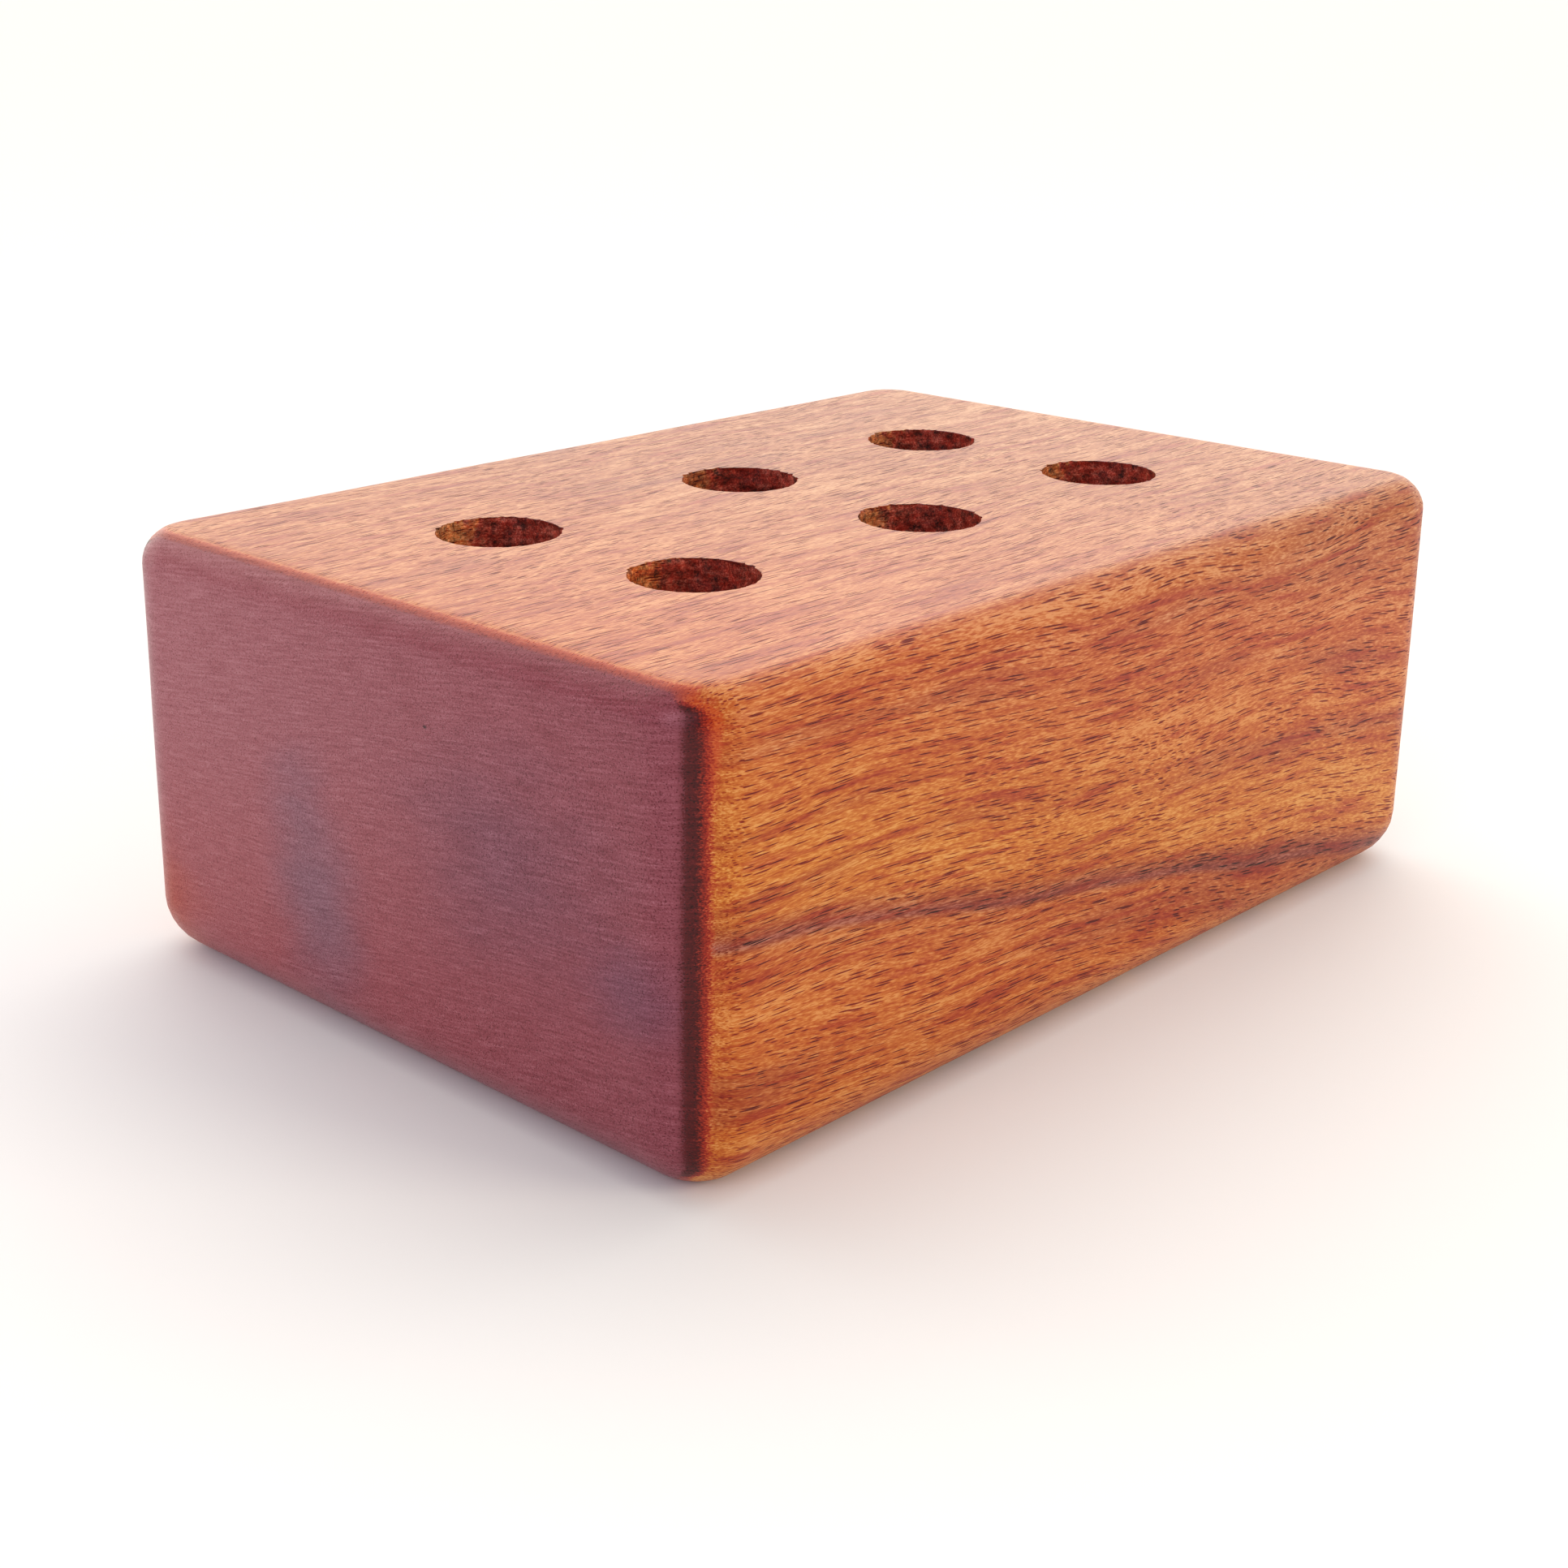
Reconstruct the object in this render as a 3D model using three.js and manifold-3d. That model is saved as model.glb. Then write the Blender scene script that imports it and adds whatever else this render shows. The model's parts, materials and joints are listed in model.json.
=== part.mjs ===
// Tool storage caddy: one block of oiled hardwood with six blind holes that tool handles stand in.
// Millimetres, +Z up. The origin is the centre of the underside, +X runs along the grain and the
// long side, and +Y across the width.
import * as THREE from "three";
import { mergeVertices } from "three/addons/utils/BufferGeometryUtils.js";
import Module from "manifold-3d";

const wasm = await Module();
wasm.setup();

// The block, planed square, then rounded over.
const length = 120;
const width = 83;
const height = 45.5;
const uprightRadius = 6.5; // the four standing corners
const topRadius = 3.5; // round-over around the top face
const bottomRadius = 6; // the wider round-over around the underside

// The holes: two rows of three, drilled by eye, so that the grid is a little off the block's centre.
const holeDiameter = 12.5;
const holeDepth = 35;
const holeColumns = [-33, 1, 32.5]; // X of each pair
const holeRows = [12.4, -13.3]; // Y of the back row and the front row
const firstPairSkew = 0.95; // the first pair stands this much askew, back hole out and front hole in
const mouthEase = 0.3; // the sanded edge of each mouth
const spurDepth = 2.5; // the pit that the drill's centre point leaves in the floor
const spurRadius = 1.6;

// How finely the curves are cut.
const cornerSegments = 10;
const roundOverSegments = 6;
const holeSegments = 48;
const overrun = 2; // how far a cutter runs past the face that it cuts

// A geometry whose faces close on themselves, as a solid that can be joined and cut.
function solidOf(geometry) {
  const bare = geometry.clone();
  bare.deleteAttribute("normal");
  bare.deleteAttribute("uv");
  const merged = mergeVertices(bare);
  return new wasm.Manifold(
    new wasm.Mesh({
      numProp: 3,
      vertProperties: new Float32Array(merged.attributes.position.array),
      triVerts: new Uint32Array(merged.index.array),
    }),
  );
}

// A solid, as a geometry that three.js can draw.
function geometryOf(solid) {
  const { vertProperties, triVerts } = solid.getMesh();
  const geometry = new THREE.BufferGeometry();
  geometry.setAttribute("position", new THREE.BufferAttribute(vertProperties, 3));
  geometry.setIndex(new THREE.BufferAttribute(triVerts, 1));
  geometry.computeVertexNormals();
  return geometry;
}

// The block seen from above: a rectangle with its four corners rounded.
function blockOutline() {
  const x = length / 2 - uprightRadius;
  const y = width / 2 - uprightRadius;
  const quarter = Math.PI / 2;
  const outline = new THREE.Shape();
  outline.absarc(x, y, uprightRadius, 0, quarter);
  outline.absarc(-x, y, uprightRadius, quarter, 2 * quarter);
  outline.absarc(-x, -y, uprightRadius, 2 * quarter, 3 * quarter);
  outline.absarc(x, -y, uprightRadius, 3 * quarter, 4 * quarter);
  outline.closePath();
  return outline;
}

// The outline as a bar from z = low to z = high, with both ends rounded over by the same radius.
function roundedBar(low, high, radius) {
  const bar = new THREE.ExtrudeGeometry(blockOutline(), {
    depth: high - low - 2 * radius,
    curveSegments: cornerSegments,
    bevelEnabled: true,
    bevelThickness: radius,
    bevelSize: radius,
    bevelOffset: -radius,
    bevelSegments: roundOverSegments,
  });
  bar.translate(0, 0, low + radius);
  return solidOf(bar);
}

// The top and the underside have different round-overs, so the block is what two bars share:
// one ends at the top face and runs on below, and the other ends at the underside and runs on above.
function blankBlock() {
  const upper = roundedBar(-topRadius - overrun, height, topRadius);
  const lower = roundedBar(0, height + bottomRadius + overrun, bottomRadius);
  return upper.intersect(lower);
}

// What the drill and the sandpaper take out for one hole, standing on the hole's own floor.
function holeCutter() {
  const radius = holeDiameter / 2;
  const profile = [
    [0, -spurDepth],
    [spurRadius, 0],
    [radius, 0],
    [radius, holeDepth - mouthEase],
    [radius + mouthEase + overrun, holeDepth + overrun],
    [0, holeDepth + overrun],
  ].map(([x, y]) => new THREE.Vector2(x, y));
  return new THREE.LatheGeometry(profile, holeSegments).rotateX(Math.PI / 2);
}

function holeCentres() {
  return holeColumns.flatMap((x, column) => {
    const skew = column === 0 ? firstPairSkew : 0;
    return holeRows.map((y) => new THREE.Vector3(x - Math.sign(y) * skew, y, height - holeDepth));
  });
}

function drilledBlock() {
  return holeCentres().reduce((block, centre) => {
    const cutter = holeCutter().translate(centre.x, centre.y, centre.z);
    return block.subtract(solidOf(cutter));
  }, blankBlock());
}

const oiledWood = new THREE.MeshStandardMaterial({
  color: 0xb06a45,
  roughness: 0.55,
  metalness: 0,
});

const block = new THREE.Mesh(geometryOf(drilledBlock()), oiledWood);
block.name = "block";

const caddy = new THREE.Group();
caddy.add(block);

export default caddy;
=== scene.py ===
# Tool storage caddy: one block of oiled sapele, sanded round by hand, with six drilled holes.
# Metres, +Z up, +X along the grain, origin at the centre of the underside.
import json
import math

import bmesh
import bpy
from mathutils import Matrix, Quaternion, Vector, noise


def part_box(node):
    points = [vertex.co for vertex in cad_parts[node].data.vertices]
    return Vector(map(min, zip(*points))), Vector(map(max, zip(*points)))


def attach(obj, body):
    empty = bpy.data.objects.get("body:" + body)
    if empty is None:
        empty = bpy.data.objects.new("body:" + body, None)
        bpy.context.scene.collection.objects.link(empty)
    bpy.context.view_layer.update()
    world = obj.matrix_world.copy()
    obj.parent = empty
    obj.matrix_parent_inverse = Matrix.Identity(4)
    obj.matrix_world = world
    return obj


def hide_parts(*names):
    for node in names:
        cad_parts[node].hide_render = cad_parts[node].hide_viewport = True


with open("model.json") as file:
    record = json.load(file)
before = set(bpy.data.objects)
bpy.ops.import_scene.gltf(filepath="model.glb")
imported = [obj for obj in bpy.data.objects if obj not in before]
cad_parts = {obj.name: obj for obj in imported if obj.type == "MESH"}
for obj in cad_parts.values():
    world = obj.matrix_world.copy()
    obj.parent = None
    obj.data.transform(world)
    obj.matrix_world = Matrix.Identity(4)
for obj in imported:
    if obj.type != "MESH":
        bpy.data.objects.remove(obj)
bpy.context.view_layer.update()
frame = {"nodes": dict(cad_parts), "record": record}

mm = 0.001
samePlace = 1e-6  # m, closer than this counts as the same place
scene = bpy.context.scene
scene.view_settings.view_transform = "Standard"
print("frame loaded:", ", ".join(sorted(frame["nodes"])))

blockShape = {
    "cornerRadius": 6.5,  # mm, the four standing corners
    "topRadius": 3.5,  # round-over of the top
    "footRadius": 6.0,  # wider round-over of the underside
    "cornerSegments": 10,
    "roundSegments": 8,
    "meshSpacing": 0.95,  # between the mesh lines on the flat faces
    "holeCell": 18.0,  # square of the top face that each hole is bridged to
    "cellOffset": 1.5,  # a hole is never further than this from the middle of its cell
    "sandingDepth": 0.10,  # hollows that hand sanding leaves in the faces
    "sandingLength": 24.0,
    "sandingPlace": (7.3, 1.1, 4.9),  # shifts where they fall
    "edgeWander": 0.22,  # how much deeper it goes on the round-overs
    "footBlend": 4.0,  # height over which the sanding begins, so that the underside stays flat
}

holeShape = {
    "radius": 6.25,  # mm
    "spurRadius": 1.6,  # pit of the drill's centre point
    "spurDepth": 2.5,
    "openingGap": 0.2,  # the frame's openings end this far above the floors
    "mouthBand": 7.0,  # the part of the walls that has the finest mesh
    "bandSpacing": 0.30,
    "wallSpacing": 1.2,
    "floorSpacing": 0.9,
    "lips": (0.5, 1.2),  # mesh rings on the top face round the mouth
    "mouthEase": 0.08,  # sanded edge of the mouth
    "chipDepth": 0.34,  # tear-out along the mouth
    "tornDepth": 0.55,  # fibres torn out where the drill cut against the grain
    "furrowDepth": 0.18,  # fibres pulled along where it cut with the grain
    "lipHeight": 0.6,  # the chips give way to the torn wall over this height
    "tearReach": (4.375, 6.65),  # what the tearing moves, by its distance from the middle
    "tornTurn": 0.8,  # how far the torn quarters turn away from the ends of the grain
    # unevenness for each mm along the grain, across it and up
    "chipsPerMm": (1.3, 1.9, 0),
    "bundlesPerMm": (0.5, 1.2, 1.2),
    "flecksPerMm": (1, 2.6, 2.6),
    "furrowsPerMm": (0.3, 0.3, 2.0),
}


def smoothStep(low, high, value):
    t = min(max((value - low) / (high - low), 0), 1)
    return t * t * (3 - 2 * t)


def unevenness(place, perMm, shift=(0, 0, 0)):
    # smooth noise, from 0 to 1
    spread = Vector([p * each for p, each in zip(place, perMm)])
    return 0.5 + 0.5 * noise.noise(spread + Vector(shift))


def roundEdges(bm, edges, radius, segments):
    return bmesh.ops.bevel(bm, geom=edges, offset=radius * mm, offset_type="OFFSET", affect="EDGES",
                           segments=segments, profile=0.5, material=-1, clamp_overlap=True)


def roundedBlock(bm, low, high):
    bmesh.ops.create_cube(bm, size=1)
    bmesh.ops.scale(bm, verts=bm.verts, vec=high - low)
    bmesh.ops.translate(bm, verts=bm.verts, vec=(low + high) / 2)
    standing = [e for e in bm.edges if abs(e.verts[0].co.z - e.verts[1].co.z) > mm]
    roundEdges(bm, standing, blockShape["cornerRadius"], blockShape["cornerSegments"])
    for level, radius in ((high.z, "topRadius"), (low.z, "footRadius")):
        rim = [e for e in bm.edges if all(abs(v.co.z - level) < samePlace for v in e.verts)]
        roundEdges(bm, rim, blockShape[radius], blockShape["roundSegments"])


def cutAlong(bm, axis, places):
    for place in places:
        point, normal = Vector(), Vector()
        point[axis], normal[axis] = place, 1
        everything = bm.verts[:] + bm.edges[:] + bm.faces[:]
        bmesh.ops.bisect_plane(bm, geom=everything, dist=samePlace, plane_co=point, plane_no=normal)


def holeMouths(top):
    # the holes' centres on the top face, and their depth in mm, come from the frame's openings
    boxes = [opening["box_m"] for opening in frame["record"]["physics"]["openings"]]
    mouths = {}
    for lowCorner, highCorner in boxes:
        centre = (Vector(lowCorner) + Vector(highCorner)) / 2
        mouths[round(centre.x, 5), round(centre.y, 5)] = Vector((centre.x, centre.y, top))
    floor = boxes[0][0][2] - holeShape["openingGap"] * mm
    return [mouths[key] for key in sorted(mouths)], (top - floor) / mm


def openCells(bm, low, high, mouths):
    # cuts mark a square cell round every hole, in rows and columns, and the cells are taken out
    corner, half = blockShape["cornerRadius"] * mm, blockShape["holeCell"] / 2 * mm
    rows = sorted({round(mouth.y, 5) for mouth in mouths})
    starts = range(0, len(mouths), len(rows))
    columns = [sum(mouth.x for mouth in mouths[i:i + len(rows)]) / len(rows) for i in starts]
    for axis, centres in ((0, columns), (1, rows)):
        sides = [centre + side * half for centre in centres for side in (-1, 1)]
        cutAlong(bm, axis, [low[axis] + corner, high[axis] - corner] + sides)
    top = [f for f in bm.faces if f.normal.z > 0.99 and f.calc_center_median().z > high.z - mm]
    offset = blockShape["cellOffset"] * mm
    cells = [f for f in top if any((f.calc_center_median() - mouth).length < offset for mouth in mouths)]
    bmesh.ops.delete(bm, geom=cells, context="FACES_ONLY")
    print("block rounded,", len(cells), "cells opened for the holes")


def evenMesh(bm):
    # long edges are cut to one spacing, so that the flat faces can carry the marks of sanding
    for axis in range(3):
        groups = {}
        for edge in bm.edges:
            run = edge.verts[1].co - edge.verts[0].co
            pieces = round(run.length / (blockShape["meshSpacing"] * mm))
            if pieces > 1 and abs(run[axis]) > 0.999 * run.length:
                groups.setdefault(pieces, []).append(edge)
        for pieces, edges in groups.items():
            bmesh.ops.subdivide_edges(bm, edges=edges, cuts=pieces - 1, use_grid_fill=True)


def drillProfile(bm, depth):
    # radius and height of each corner from the floor out to the lip, and the mesh spacing on the way to it
    radius, fine = holeShape["radius"], holeShape["floorSpacing"]
    corners = [(holeShape["spurRadius"], -depth, fine),
               (radius, -depth, fine),
               (radius, -holeShape["mouthBand"], holeShape["wallSpacing"]),
               (radius, 0, holeShape["bandSpacing"])]
    corners += [(radius + lip, 0, fine) for lip in holeShape["lips"]]
    start = Vector((0, 0, -depth - holeShape["spurDepth"]))
    points = [bm.verts.new(start * mm)]
    for x, z, spacing in corners:
        end = Vector((x, 0, z))
        steps = max(1, round((end - start).length / spacing))
        points += [bm.verts.new(start.lerp(end, (i + 1) / steps) * mm) for i in range(steps)]
        start = end
    return points + [bm.edges.new(pair) for pair in zip(points, points[1:])]


def drilledCup(depth, segments):
    # the profile is spun into one cup, which is used for all the holes
    bm = bmesh.new()
    profile = drillProfile(bm, depth)
    bmesh.ops.spin(bm, geom=profile, cent=(0, 0, 0), axis=(0, 0, 1), angle=math.tau, steps=segments,
                   use_merge=True)
    poles = [v for v in bm.verts if v.co.xy.length < samePlace]
    bmesh.ops.remove_doubles(bm, verts=poles, dist=samePlace)
    radius = holeShape["radius"] * mm
    for face in bm.faces:
        face.material_index = 1 if face.calc_center_median().xy.length < radius else 0
    rim = {v for v in bm.verts if abs(v.co.z) < samePlace and v.co.xy.length < radius + samePlace}
    mouthEdges = [e for e in bm.edges if rim.issuperset(e.verts)]
    eased = set(roundEdges(bm, mouthEdges, holeShape["mouthEase"], 2)["faces"])
    for edge in bm.edges:
        # the mouth stays crisp: the top face and the wall are shaded apart from the narrow eased edge
        edge.smooth = len(eased.intersection(edge.link_faces)) != 1
    cup = bpy.data.meshes.new("drilled_cup")
    bm.to_mesh(cup)
    bm.free()
    return cup


def bridgedHole(bm, cup, mouth):
    reach = 1.3 * blockShape["holeCell"] / 2 * mm  # takes in one cell's edges and not the next one's
    opening = [e for e in bm.edges if e.is_boundary
               and all(max(abs(v.co.x - mouth.x), abs(v.co.y - mouth.y)) < reach for v in e.verts)]
    for vert in bm.verts:
        vert.tag = True
    bm.from_mesh(cup)
    added = [v for v in bm.verts if not v.tag]
    bmesh.ops.translate(bm, verts=added, vec=mouth)
    lip = [e for e in bm.edges if e.is_boundary and not any(v.tag for v in e.verts)]
    bmesh.ops.bridge_loops(bm, edges=opening + lip)


def sandByHand(bm, low):
    # long shallow hollows in the faces, deeper on the round-overs; the underside stays flat
    bm.normal_update()
    perMm = [1 / blockShape["sandingLength"]] * 3
    for vert in bm.verts:
        wave = unevenness(vert.co / mm, perMm, blockShape["sandingPlace"])
        crown = 1 - max(abs(c) for c in vert.normal)
        edgeDepth = blockShape["edgeWander"] * smoothStep(0, 0.25, crown)
        lift = smoothStep(0, blockShape["footBlend"] * mm, vert.co.z - low.z)
        vert.co -= vert.normal * (blockShape["sandingDepth"] + edgeDepth) * wave * lift * mm


def tearFibres(bm, mouth):
    # turning clockwise, the drill tears the end grain out of two quarters of the wall and cuts the others
    # clean; at the mouth it chips the far side most
    inner, outer = holeShape["tearReach"]
    for vert in bm.verts:
        arm = (vert.co.xy - mouth.xy) / mm
        if not inner < arm.length < outer:
            continue
        outward = Vector((arm.x, arm.y, 0)).normalized()
        place = vert.co / mm
        against = abs(outward.x) + holeShape["tornTurn"] * outward.x * outward.y
        against = smoothStep(0.15, 0.7, against)
        bundle = unevenness(place, holeShape["bundlesPerMm"])
        fleck = unevenness(place, holeShape["flecksPerMm"], (3, 8, 1))
        torn = holeShape["tornDepth"] * bundle * fleck * against
        furrow = unevenness(place, holeShape["furrowsPerMm"])
        dragged = holeShape["furrowDepth"] * furrow * (1 - against)
        farSide = 0.3 + 0.7 * smoothStep(-0.3, 0.6, outward.x + outward.y)
        notch = smoothStep(0.5, 0.7, unevenness(place, holeShape["chipsPerMm"], (0, 0, 5)))
        chipped = holeShape["chipDepth"] * notch * farSide
        below = smoothStep(0, holeShape["lipHeight"], (mouth.z - vert.co.z) / mm)
        vert.co += outward * ((torn + dragged) * below + chipped * (1 - below)) * mm


def makeBlock():
    low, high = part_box("block")
    mouths, depth = holeMouths(high.z)
    bm = bmesh.new()
    roundedBlock(bm, low, high)
    openCells(bm, low, high, mouths)
    evenMesh(bm)
    cellSteps = round(blockShape["holeCell"] / blockShape["meshSpacing"])
    cup = drilledCup(depth, 8 * cellSteps)  # two steps for each one of the cell's four sides
    for mouth in mouths:
        bridgedHole(bm, cup, mouth)
    bpy.data.meshes.remove(cup)
    bmesh.ops.recalc_face_normals(bm, faces=bm.faces)
    sandByHand(bm, low)
    for mouth in mouths:
        tearFibres(bm, mouth)
    bmesh.ops.recalc_face_normals(bm, faces=bm.faces)
    for face in bm.faces:
        face.smooth = True
    mesh = bpy.data.meshes.new("drilled_block")
    bm.to_mesh(mesh)
    bm.free()
    piece = bpy.data.objects.new("drilled_block", mesh)
    scene.collection.objects.link(piece)
    print("block drilled:", len(mesh.vertices), "vertices,", len(mesh.polygons), "faces")
    return piece


def linearColour(code):
    channels = [int(code[i:i + 2], 16) / 255 for i in (0, 2, 4)]
    linear = [c / 12.92 if c <= 0.04045 else ((c + 0.055) / 1.055) ** 2.4 for c in channels]
    return (*linear, 1)


def addNode(tree, kind, settings, output=0):
    # a setting is a property of the node, the stops of its ramp, or an input: a value, hex colour or link
    node = tree.nodes.new("ShaderNode" + kind)
    for name, value in settings.items():
        if name == "stops":
            ramp = node.color_ramp
            while len(ramp.elements) < len(value):
                ramp.elements.new(1)
            for element, (place, code) in zip(ramp.elements, value):
                element.position, element.color = place, linearColour(code)
        elif isinstance(name, str) and hasattr(node, name):
            setattr(node, name, value)
        elif isinstance(value, bpy.types.NodeSocket):
            tree.links.new(value, node.inputs[name])
        else:
            node.inputs[name].default_value = linearColour(value) if isinstance(value, str) else value
    return node.outputs[output] if node.outputs else None


smoothly = {"interpolation_type": "SMOOTHSTEP"}
inColour = {"data_type": "RGBA"}

# Sapele, hand-sanded and oiled: a satin red-brown wood with fine dark vessel lines along the grain, gold
# and purple-brown growth layers on the long sides, and much darker, redder end grain, which carries
# painted bluish reflections.
oiledSapele = {
    "slope": 10.5,  # degrees that the growth layers fall towards +X
    "layerTilt": 9.0,  # degrees that they rise towards -Y
    "fibreFall": (47, 0.0031),  # height in mm where the fibres are level, and how they steepen below it
    "sway": ((34, 38, 13), 2.0),  # size in mm of the interlocked grain's waves, and how far they lean
    # colour of the growth layers by their height, in mm above the middle of the foot
    "layers": ((-16, "bc6520"), (-6, "b65f20"), (0, "ba6121"), (5.6, "b05921"), (6.4, "7c342a"),
               (7.1, "944324"), (9.0, "b86420"), (12.5, "be6d23"), (17, "ba6722"), (21, "b65e20"),
               (32, "b45c29"), (46, "ac6335"), (62, "ac6940")),
    # shades in the wood: size in mm along, across and through the grain, detail, and how much they deepen
    "shades": {
        "ribbon": ((46, 12, 5), 3, 0.6),
        "mottle": ((12, 1.3, 0.9), 3, 1.1),
        "line": ((12, 4.5, 0.26), 2, 0.7),
        "fibre": ((0.9, 0.14, 0.13), 3, 1.8),
    },
    "palest": 0.64,  # the least depth, so that no fibre shines out
    # purple where the grain interlocks, and red streaks of gum: the shade that they follow, between which
    # values of it they set in, the most that they cover, and their colour
    "stains": (("ribbon", 0.54, 0.70, 0.25, "8a4a3c"), ("mottle", 0.54, 0.68, 0.55, "a63a1c")),
    # spacing of the vessels in mm, and how much deeper their lines are; they are drawn about 0.15 mm wide,
    # while the finest real ones are 0.1, as thinner lines wouldn't show
    "vessels": ((5, 0.24, 0.24), 1.8),
    "vesselEdge": (0.18, 0.34),  # how far from their middles the lines fade, in parts of the spacing
    "vesselFade": (0.1, 0.5, 0.2),  # they fade as the surface turns across the grain: from, to, what is left
    "endHigh": "9c5860",  # the flat of the ends: at +Y above, at +Y below, and at -Y
    "endLow": "9c4a50",
    "endNear": "823c47",
    "endLowBlend": (34, 4),  # mm above the foot
    "endNearBlend": (34, -40),  # mm across from the middle
    # patches on the ends: painted bluish-grey reflections, a red corner and the painted shade of a small
    # pit:
    # place across and up the tilted grain and half the width and height in mm, colour, amount
    "patches": ((8.5, 9.5, 7, 17, "60586c", 0.45),
                (-21, 18, 14, 13, "5a3b50", 0.4),
                (-35, 8, 6, 6, "54425c", 0.35),
                (39, 2, 9, 12, "ac452b", 0.9),
                # a small pit, drawn as a dark spot of painted shade
                (-12.7, 31.9, 0.3, 0.25, "200a10", 0.9)),
    "patchEdge": (0.5, 1.9),  # how far from their middles the patches fade, in parts of their size
    "endDepth": (0.24, (("line", 0.6), ("fibre", 0.9), ("vessels", 0.4))),  # the least, and additions
    # round-overs of the ends, by how far they face along the grain: the standing corners, where end grain
    # has soaked up most oil, and the rims at the top and the foot
    "endCorner": ((0.57, "b2461a"), (0.63, "96220e"), (0.71, "480506"), (0.80, "4c080c")),
    "endRim": ((0.16, "c66e36"), (0.29, "b03e18"), (0.44, "9c3424"), (0.60, "8a4046")),
    "edgeStart": (0.54, 0.62),  # end grain starts where the surface faces this far along the grain
    "edgeWider": (35, 45, 0.12),  # it starts sooner towards the top: from and to in mm above the foot, by
    "rimSooner": 0.40,  # and sooner still on the rims
    "flatStart": (0.79, 0.86),  # the edge gives way to the flat where it faces this far along the grain
    "flatSooner": 0.26,  # and sooner on the rims
    "rimFacing": (0.3, 0.7),  # a rim faces this far up or down
    "rimSideways": (0.15, 0.5),  # and less than this to the side
    "steepFacing": (0.75, 0.45),  # surfaces that are steeper than this count as upright
    "ragged": 0.2,  # how far the fibres break up these borders
    "drilledStart": (0.0, 0.6),  # the same as edgeStart, in the holes
    "drilledEnd": "8e3022",  # end grain in the holes
    # torn fibres in the holes: their noise, for each mm, and between which values of it which tones lie
    "fuzz": {"Scale": 0.8, "Detail": 5, "Roughness": 0.85},
    "fuzzTones": (0.38, 0.66, 0.15, 2.1),
    "roughness": 0.40,
    "endRoughness": 0.32,
    "vesselRoughness": 0.15,  # what the vessels and the torn fibres add
    "fuzzRoughness": 0.25,
    "ior": 1.33,
    "grainDepth": 0.04,  # mm
    "relief": 0.6,  # how much of it shows, and how high the fibres stand beside the depth of the vessels
}


def runGrain(tree, wood, inMm):
    # coordinates in mm along the straight fibres, along the waving ones, and through the growth layers
    along, across, above = [addNode(tree, "SeparateXYZ", {"Vector": inMm}, axis) for axis in "XYZ"]
    level, growth = wood["fibreFall"]
    fall = addNode(tree, "Math", {"operation": "MULTIPLY_ADD", 0: above, 1: -growth, 2: level * growth})
    fall = addNode(tree, "Math", {"operation": "MULTIPLY_ADD", 0: along, 1: fall, 2: above})
    straight = addNode(tree, "CombineXYZ", {"X": along, "Y": across, "Z": fall})
    tilt, slope = math.radians(wood["layerTilt"]), math.radians(-wood["slope"])
    straight = addNode(tree, "Mapping", {"Vector": straight, "Rotation": (tilt, 0, 0)})
    waveSize, lean = wood["sway"]
    waves = addNode(tree, "Mapping", {"Vector": straight, "Scale": [1 / s for s in waveSize]})
    waves = addNode(tree, "TexNoise", {"Vector": waves, "Scale": 1, "Detail": 1}, "Color")
    waves = addNode(tree, "VectorMath", {"operation": "SUBTRACT", 0: waves, 1: (0.5, 0.5, 0.5)})
    waves = addNode(tree, "VectorMath", {"operation": "MULTIPLY", 0: waves, 1: (0, 2 * lean, 2 * lean)})
    waving = addNode(tree, "VectorMath", {"operation": "ADD", 0: straight, 1: waves})
    layers = addNode(tree, "Mapping", {"Vector": inMm, "Rotation": (tilt, slope, 0)})
    layers = addNode(tree, "VectorMath", {"operation": "ADD", 0: layers, 1: waves})
    return straight, waving, layers


def shadeWood(tree, wood, waving):
    # the shades deepen the wood together: a gamma above 1 darkens and reddens it, as more gum does
    # and as each of them is a half on average, the wood keeps its depth
    shades, depth = {}, 1 - sum(amount for _, _, amount in wood["shades"].values()) / 2
    for shade, (size, detail, amount) in wood["shades"].items():
        spread = addNode(tree, "Mapping", {"Vector": waving, "Scale": [1 / s for s in size]})
        shades[shade] = addNode(tree, "TexNoise", {"Vector": spread, "Scale": 1, "Detail": detail})
        depth = addNode(tree, "Math", {"operation": "MULTIPLY_ADD", 0: shades[shade], 1: amount, 2: depth})
    depth = addNode(tree, "Math", {"operation": "MAXIMUM", 0: depth, 1: wood["palest"]})
    spread = addNode(tree, "Mapping", {"Vector": waving, "Scale": [1 / s for s in wood["vessels"][0]]})
    nearest = addNode(tree, "TexVoronoi", {"Vector": spread, "Scale": 1, "feature": "F1"}, "Distance")
    core, edge = wood["vesselEdge"]
    shades["vessels"] = addNode(tree, "MapRange", {**smoothly, 0: nearest, 1: core, 2: edge, 3: 1, 4: 0})
    return shades, depth


def colourLongGrain(tree, wood, layers, shades, depth):
    heights = [height for height, _ in wood["layers"]]
    span = heights[-1] - heights[0]
    stops = [((height - heights[0]) / span, code) for height, code in wood["layers"]]
    through = addNode(tree, "SeparateXYZ", {"Vector": layers}, "Z")
    through = addNode(tree, "MapRange", {0: through, 1: heights[0], 2: heights[-1]})
    colour = addNode(tree, "ValToRGB", {"stops": stops, "Fac": through})
    for shade, low, high, amount, code in wood["stains"]:
        mask = addNode(tree, "MapRange", {**smoothly, 0: shades[shade], 1: low, 2: high, 3: 0, 4: amount})
        colour = addNode(tree, "Mix", {**inColour, 0: mask, 6: colour, 7: code}, 2)
    return addNode(tree, "Gamma", {"Color": colour, "Gamma": depth})


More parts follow.
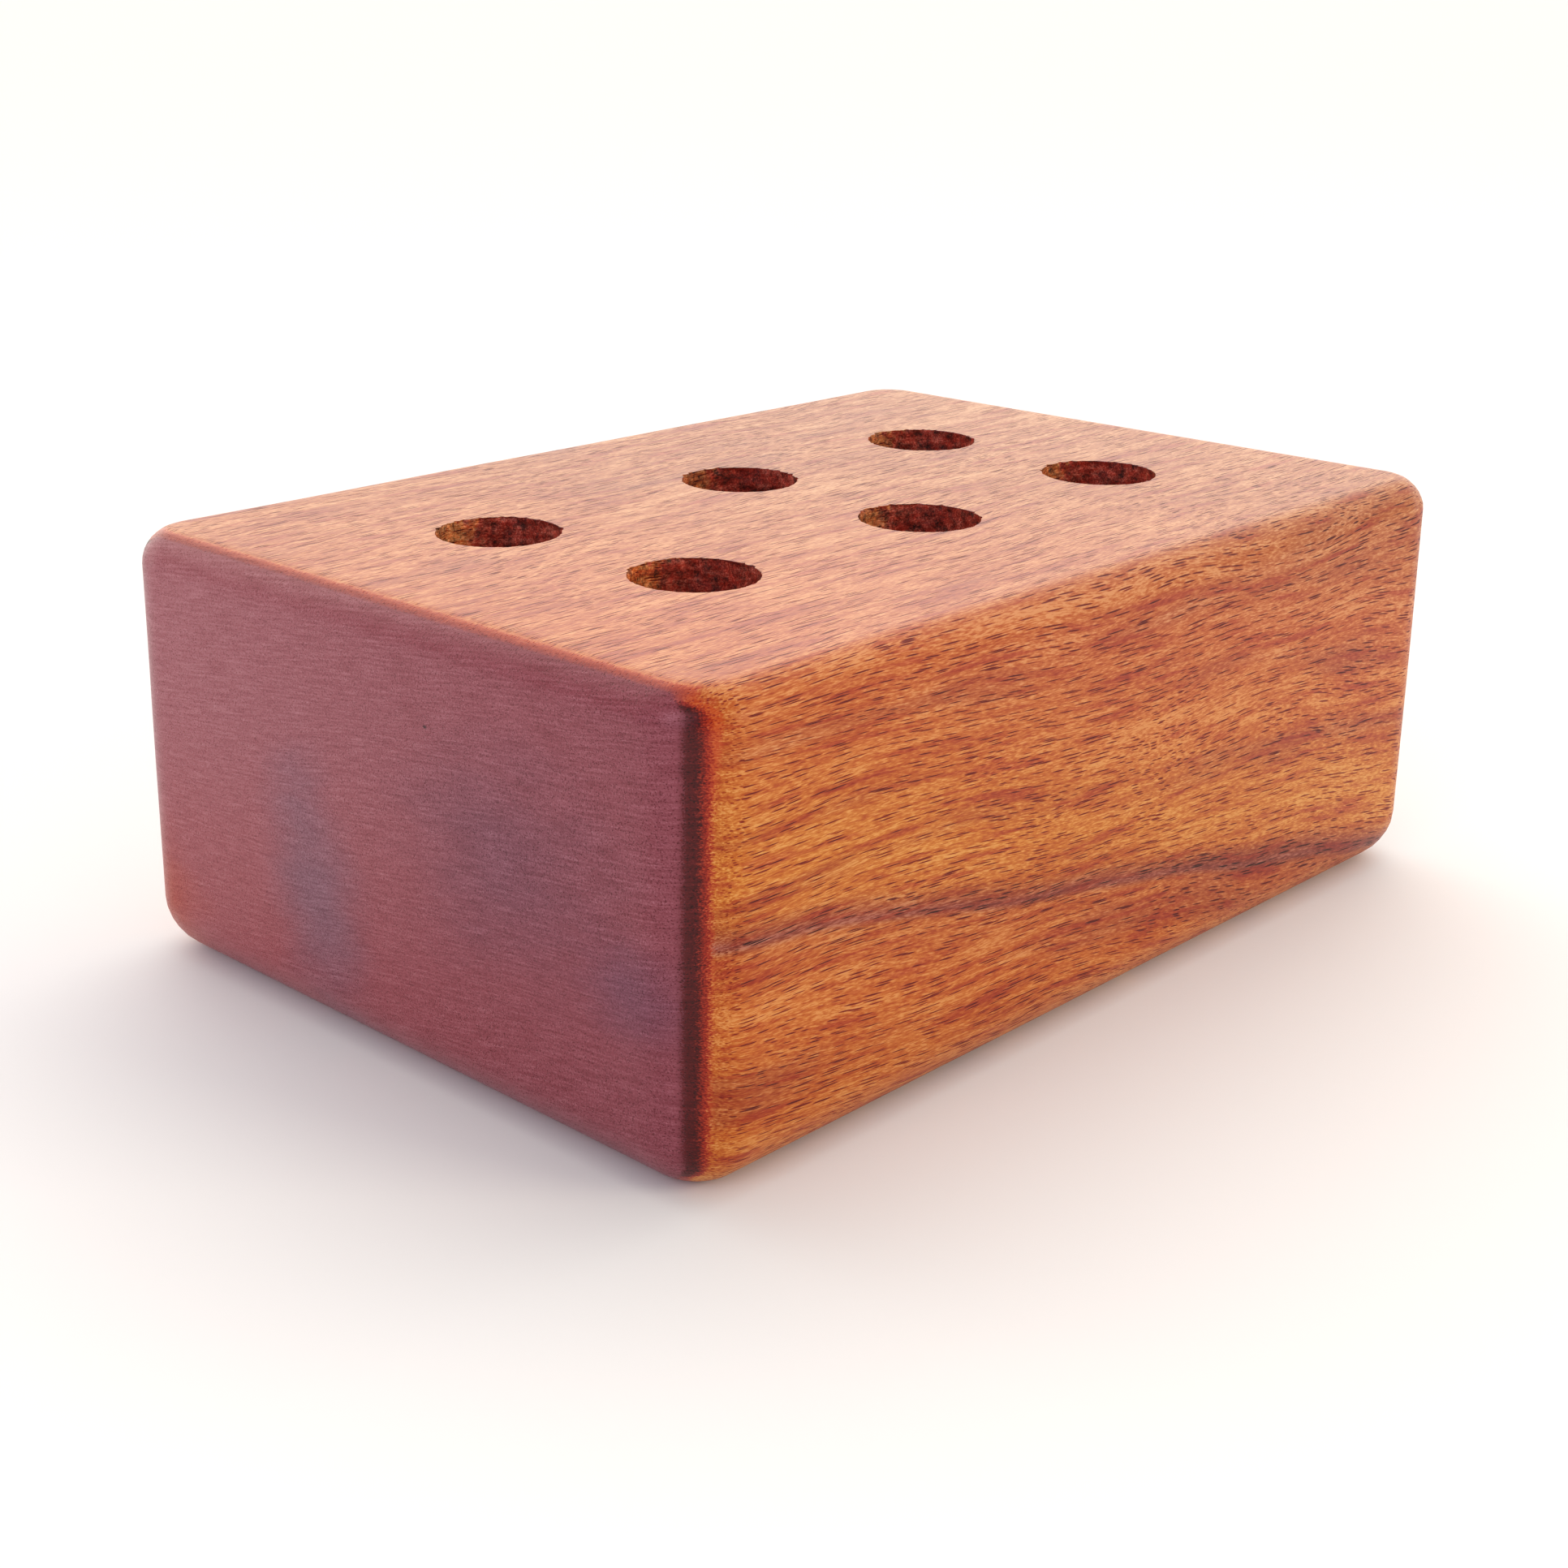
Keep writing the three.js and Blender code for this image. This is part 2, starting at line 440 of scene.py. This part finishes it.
def colourFlatEnds(tree, wood, inMm, straight, shades):
    # redder low down, darker towards -Y, with patches of painted bluish-grey reflection
    across, above = [addNode(tree, "SeparateXYZ", {"Vector": inMm}, axis) for axis in "YZ"]
    high, low = wood["endLowBlend"]
    lowDown = addNode(tree, "MapRange", {**smoothly, 0: above, 1: high, 2: low})
    far, near = wood["endNearBlend"]
    towardsNear = addNode(tree, "MapRange", {0: across, 1: far, 2: near})
    colour = addNode(tree, "Mix", {**inColour, 0: lowDown, 6: wood["endHigh"], 7: wood["endLow"]}, 2)
    colour = addNode(tree, "Mix", {**inColour, 0: towardsNear, 6: colour, 7: wood["endNear"]}, 2)
    core, edge = wood["patchEdge"]
    # the first three patches are painted reflections, and the last one is the painted shade of a pit
    for y, z, width, height, code, amount in wood["patches"]:
        scale, centre = (0, 1 / width, 1 / height), (0, -y / width, -z / height)
        patch = addNode(tree, "Mapping", {"Vector": straight, "Scale": scale, "Location": centre})
        patch = addNode(tree, "VectorMath", {"operation": "LENGTH", 0: patch}, "Value")
        patch = addNode(tree, "Math", {"operation": "ADD", 0: patch, 1: shades["ribbon"]})
        patch = addNode(tree, "MapRange", {**smoothly, 0: patch, 1: core, 2: edge, 3: amount, 4: 0})
        colour = addNode(tree, "Mix", {**inColour, 0: patch, 6: colour, 7: code}, 2)
    return colour


def findRims(tree, wood, sideways, upward):
    # 1 on the round-overs at the top and the foot of the ends, 0 towards the standing corners
    low, high = wood["rimFacing"]
    rims = addNode(tree, "MapRange", {**smoothly, 0: upward, 1: low, 2: high})
    low, high = wood["rimSideways"]
    between = addNode(tree, "MapRange", {**smoothly, 0: sideways, 1: low, 2: high, 3: 1, 4: 0})
    return addNode(tree, "Math", {"operation": "MULTIPLY", 0: rims, 1: between})


def findFacing(tree, wood, surface, facing, shade, drilled):
    # how far the surface faces along the grain, from 0 to 1; an upright one by its direction alone, so that
    # the corners keep their width up to the rims
    lengthwise, upward = [addNode(tree, "SeparateXYZ", {"Vector": facing}, axis) for axis in "XZ"]
    turned = addNode(tree, "VectorMath", {"operation": "MULTIPLY", 0: facing, 1: (1, 1, 0)})
    turned = addNode(tree, "VectorMath", {"operation": "NORMALIZE", 0: turned})
    turned = addNode(tree, "SeparateXYZ", {"Vector": turned}, "X")
    flat, upright = wood["steepFacing"]
    steep = addNode(tree, "MapRange", {**smoothly, 0: upward, 1: flat, 2: upright})
    lengthwise = addNode(tree, "Mix", {0: steep, 2: lengthwise, 3: turned})
    if drilled:
        # a drill leaves end grain open where it cut against the fibres, in two quarters of each hole
        outX, outY = [addNode(tree, "SeparateXYZ", {"Vector": surface}, axis) for axis in "XY"]
        turn = addNode(tree, "Math", {"operation": "MULTIPLY", 0: outX, 1: outY})
        lengthwise = addNode(tree, "Math", {
            "operation": "MULTIPLY_ADD", 0: turn, 1: holeShape["tornTurn"], 2: lengthwise})
    ragged = wood["ragged"]
    broken = addNode(tree, "Math", {"operation": "MULTIPLY_ADD", 0: shade, 1: ragged, 2: -ragged / 2})
    return addNode(tree, "Math", {"operation": "ADD", 0: lengthwise, 1: broken})


def colourEnds(tree, wood, flat, shades, lengthwise, rims):
    # the flat of the ends inside its dark corners and red rims
    depth, added = wood["endDepth"]
    for shade, amount in added:
        depth = addNode(tree, "Math", {"operation": "MULTIPLY_ADD", 0: shades[shade], 1: amount, 2: depth})
    flat = addNode(tree, "Gamma", {"Color": flat, "Gamma": depth})
    corner = addNode(tree, "ValToRGB", {"stops": wood["endCorner"], "Fac": lengthwise})
    rim = addNode(tree, "ValToRGB", {"stops": wood["endRim"], "Fac": lengthwise})
    edge = addNode(tree, "Mix", {**inColour, 0: rims, 6: corner, 7: rim}, 2)
    edge = addNode(tree, "Gamma", {"Color": edge, "Gamma": depth})
    start, full = wood["flatStart"]
    inside = addNode(tree, "Math", {
        "operation": "MULTIPLY_ADD", 0: rims, 1: wood["flatSooner"], 2: lengthwise})
    inside = addNode(tree, "MapRange", {**smoothly, 0: inside, 1: start, 2: full})
    return addNode(tree, "Mix", {**inColour, 0: inside, 6: edge, 7: flat}, 2)


def makeWood(name, wood, drilled):
    material = bpy.data.materials.new(name)
    material.use_nodes = True
    tree = material.node_tree
    tree.nodes.clear()
    place = addNode(tree, "TexCoord", {}, "Object")
    inMm = addNode(tree, "VectorMath", {"operation": "SCALE", 0: place, "Scale": 1 / mm})
    straight, waving, layers = runGrain(tree, wood, inMm)
    shades, depth = shadeWood(tree, wood, waving)
    surface = addNode(tree, "NewGeometry", {}, "Normal")
    facing = addNode(tree, "VectorMath", {"operation": "ABSOLUTE", 0: surface})
    ends, sideways, upward = [addNode(tree, "SeparateXYZ", {"Vector": facing}, axis) for axis in "XYZ"]

    low, high, left = wood["vesselFade"]
    vesselDepth = wood["vessels"][1]
    faded = 0 if drilled else left * vesselDepth
    seen = addNode(tree, "MapRange", {0: ends, 1: low, 2: high, 3: vesselDepth, 4: faded})
    depth = addNode(tree, "Math", {"operation": "MULTIPLY_ADD", 0: shades["vessels"], 1: seen, 2: depth})
    longColour = colourLongGrain(tree, wood, layers, shades, depth)

    # where end grain shows, and its colour
    lengthwise = findFacing(tree, wood, surface, facing, shades["fibre"], drilled)
    rims = findRims(tree, wood, sideways, upward)
    low, high = wood["drilledStart" if drilled else "edgeStart"]
    above = addNode(tree, "SeparateXYZ", {"Vector": inMm}, "Z")
    wideFrom, wideTo, wider = wood["edgeWider"]
    sooner = low if drilled else low - wider
    start = addNode(tree, "MapRange", {0: above, 1: wideFrom, 2: wideTo, 3: low, 4: sooner})
    start = addNode(tree, "MapRange", {0: rims, 3: start, 4: low - wood["rimSooner"]})
    endGrain = addNode(tree, "Math", {"operation": "SUBTRACT", 0: lengthwise, 1: start})
    endGrain = addNode(tree, "MapRange", {**smoothly, 0: endGrain, 2: high - low})
    if drilled:
        endColour = addNode(tree, "Gamma", {"Color": wood["drilledEnd"], "Gamma": depth})
    else:
        flat = colourFlatEnds(tree, wood, inMm, straight, shades)
        endColour = colourEnds(tree, wood, flat, shades, lengthwise, rims)
    colour = addNode(tree, "Mix", {**inColour, 0: endGrain, 6: longColour, 7: endColour}, 2)

    vessels, fibre = shades["vessels"], shades["fibre"]
    roughness = addNode(tree, "MapRange", {0: endGrain, 3: wood["roughness"], 4: wood["endRoughness"]})
    roughness = addNode(tree, "Math", {
        "operation": "MULTIPLY_ADD", 0: vessels, 1: wood["vesselRoughness"], 2: roughness})
    if drilled:
        fuzz = addNode(tree, "TexNoise", {"Vector": inMm, **wood["fuzz"]})
        low, high, dark, pale = wood["fuzzTones"]
        tone = addNode(tree, "MapRange", {0: fuzz, 1: low, 2: high, 3: dark, 4: pale})
        colour = addNode(tree, "Mix", {**inColour, "blend_type": "MULTIPLY", 0: 1, 6: colour, 7: tone}, 2)
        roughness = addNode(tree, "Math", {"operation": "ADD", 0: roughness, 1: wood["fuzzRoughness"]})
    height = addNode(tree, "Math", {"operation": "MULTIPLY", 0: fibre, 1: wood["relief"]})
    height = addNode(tree, "Math", {"operation": "SUBTRACT", 0: height, 1: vessels})
    bump = addNode(tree, "Bump", {
        "Strength": wood["relief"], "Distance": wood["grainDepth"] * mm, "Height": height})
    shader = addNode(tree, "BsdfPrincipled", {
        "Base Color": colour, "Roughness": roughness, "IOR": wood["ior"], "Normal": bump})
    addNode(tree, "OutputMaterial", {"Surface": shader})
    return material


# the outside is sanded, and the holes are as the drill left them: rougher, redder and mottled by torn fibres
block = makeBlock()
block.data.materials.append(makeWood("oiled sapele, sanded", oiledSapele, False))
block.data.materials.append(makeWood("oiled sapele, drilled", oiledSapele, True))
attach(block, "root")
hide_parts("block")
print("wood finished")


studio = {
    "floorSize": 60.0,  # m
    "floorColour": "f0f2f6",
    "floorRoughness": 0.8,
    "floorIor": 1.2,
    "tentBack": 2.5,  # brightness of the white tent behind the block, at the sides and behind the camera
    "tentSides": 0.62,
    "tentFront": 0.10,
    "tentDirection": (0.68, 0.66, 0.32),  # towards its brightest part
    "backBlend": (0.1, 1),  # how far round from there the three give way to one another, as cosines
    "frontBlend": (-1, -0.3),
    "tentColour": "fff8ee",
    "backdrop": 1.05,  # brightness of the plain white that the camera sees
}

# name: (place in m, width and height in m, watts, colour)
softLights = {
    "right_front": ((0.45, -0.95, 0.42), (0.5, 0.5), 4.4, "fff0d4"),
    "left_cool": ((-0.95, -0.28, 0.45), (0.8, 0.8), 3.8, "e6e9ff"),
}

viewpoint = {
    "azimuth": -45.87,  # degrees, 0 looks along +Y
    "elevation": 17.61,
    "roll": 0.36,
    "distance": 256.2,  # mm
    "aim": (-7.27, 7.77, 0.58),  # mm from the block's centre
    "lens": 53.66,
    "shift": (0.0433, -0.0566),
    "clipStart": 10,  # mm
}


def makeFloor():
    bm = bmesh.new()
    bmesh.ops.create_grid(bm, x_segments=1, y_segments=1, size=studio["floorSize"] / 2)
    mesh = bpy.data.meshes.new("floor")
    bm.to_mesh(mesh)
    bm.free()
    floor = bpy.data.objects.new("floor", mesh)
    scene.collection.objects.link(floor)
    # matt laminate, a white ground with hardly any reflection
    material = bpy.data.materials.new("white matt laminate")
    material.use_nodes = True
    shader = material.node_tree.nodes["Principled BSDF"].inputs
    shader["Base Color"].default_value = linearColour(studio["floorColour"])
    shader["Roughness"].default_value = studio["floorRoughness"]
    shader["IOR"].default_value = studio["floorIor"]
    mesh.materials.append(material)


def pitchTent():
    # a white tent, brightest behind the block; the camera sees it as plain white
    world = bpy.data.worlds.new("white tent")
    scene.world = world
    world.use_nodes = True
    tree = world.node_tree
    tree.nodes.clear()
    direction = addNode(tree, "TexCoord", {}, "Generated")
    towards = Vector(studio["tentDirection"]).normalized()
    facing = addNode(tree, "VectorMath", {"operation": "DOT_PRODUCT", 0: direction, 1: towards}, "Value")
    back, sides, front = studio["tentBack"], studio["tentSides"], studio["tentFront"]
    low, high = studio["backBlend"]
    glow = addNode(tree, "MapRange", {**smoothly, 0: facing, 1: low, 2: high, 3: 0, 4: back - sides})
    low, high = studio["frontBlend"]
    shade = addNode(tree, "MapRange", {**smoothly, 0: facing, 1: low, 2: high, 3: front, 4: sides})
    glow = addNode(tree, "Math", {"operation": "ADD", 0: glow, 1: shade})
    lit = addNode(tree, "Background", {"Color": studio["tentColour"], "Strength": glow})
    plain = addNode(tree, "Background", {"Color": "ffffff", "Strength": studio["backdrop"]})
    seen = addNode(tree, "LightPath", {}, "Is Camera Ray")
    both = addNode(tree, "MixShader", {0: seen, 1: lit, 2: plain})
    addNode(tree, "OutputWorld", {"Surface": both})


def hangLights(target):
    for name, (place, size, watts, colour) in softLights.items():
        lamp = bpy.data.lights.new(name, "AREA")
        lamp.shape = "RECTANGLE"
        lamp.size, lamp.size_y = size
        lamp.energy = watts
        lamp.color = linearColour(colour)[:3]
        light = bpy.data.objects.new(name, lamp)
        light.location = place
        light.rotation_mode = "QUATERNION"
        light.rotation_quaternion = (target - Vector(place)).to_track_quat("-Z", "Y")
        scene.collection.objects.link(light)


def placeCamera(target):
    turn, rise = math.radians(viewpoint["azimuth"]), math.radians(viewpoint["elevation"])
    back = Vector((math.sin(turn) * math.cos(rise), -math.cos(turn) * math.cos(rise), math.sin(rise)))
    camera = bpy.data.objects.new("camera", bpy.data.cameras.new("camera"))
    camera.data.lens = viewpoint["lens"]
    camera.data.shift_x, camera.data.shift_y = viewpoint["shift"]
    camera.data.clip_start = viewpoint["clipStart"] * mm
    camera.location = target + Vector(viewpoint["aim"]) * mm + back * viewpoint["distance"] * mm
    camera.rotation_mode = "QUATERNION"
    level = (-back).to_track_quat("-Z", "Y")
    camera.rotation_quaternion = level @ Quaternion((0, 0, 1), math.radians(viewpoint["roll"]))
    scene.collection.objects.link(camera)
    scene.camera = camera


middle = sum(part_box("block"), Vector()) / 2
makeFloor()
pitchTent()
hangLights(middle)
placeCamera(middle)
print("studio lit")
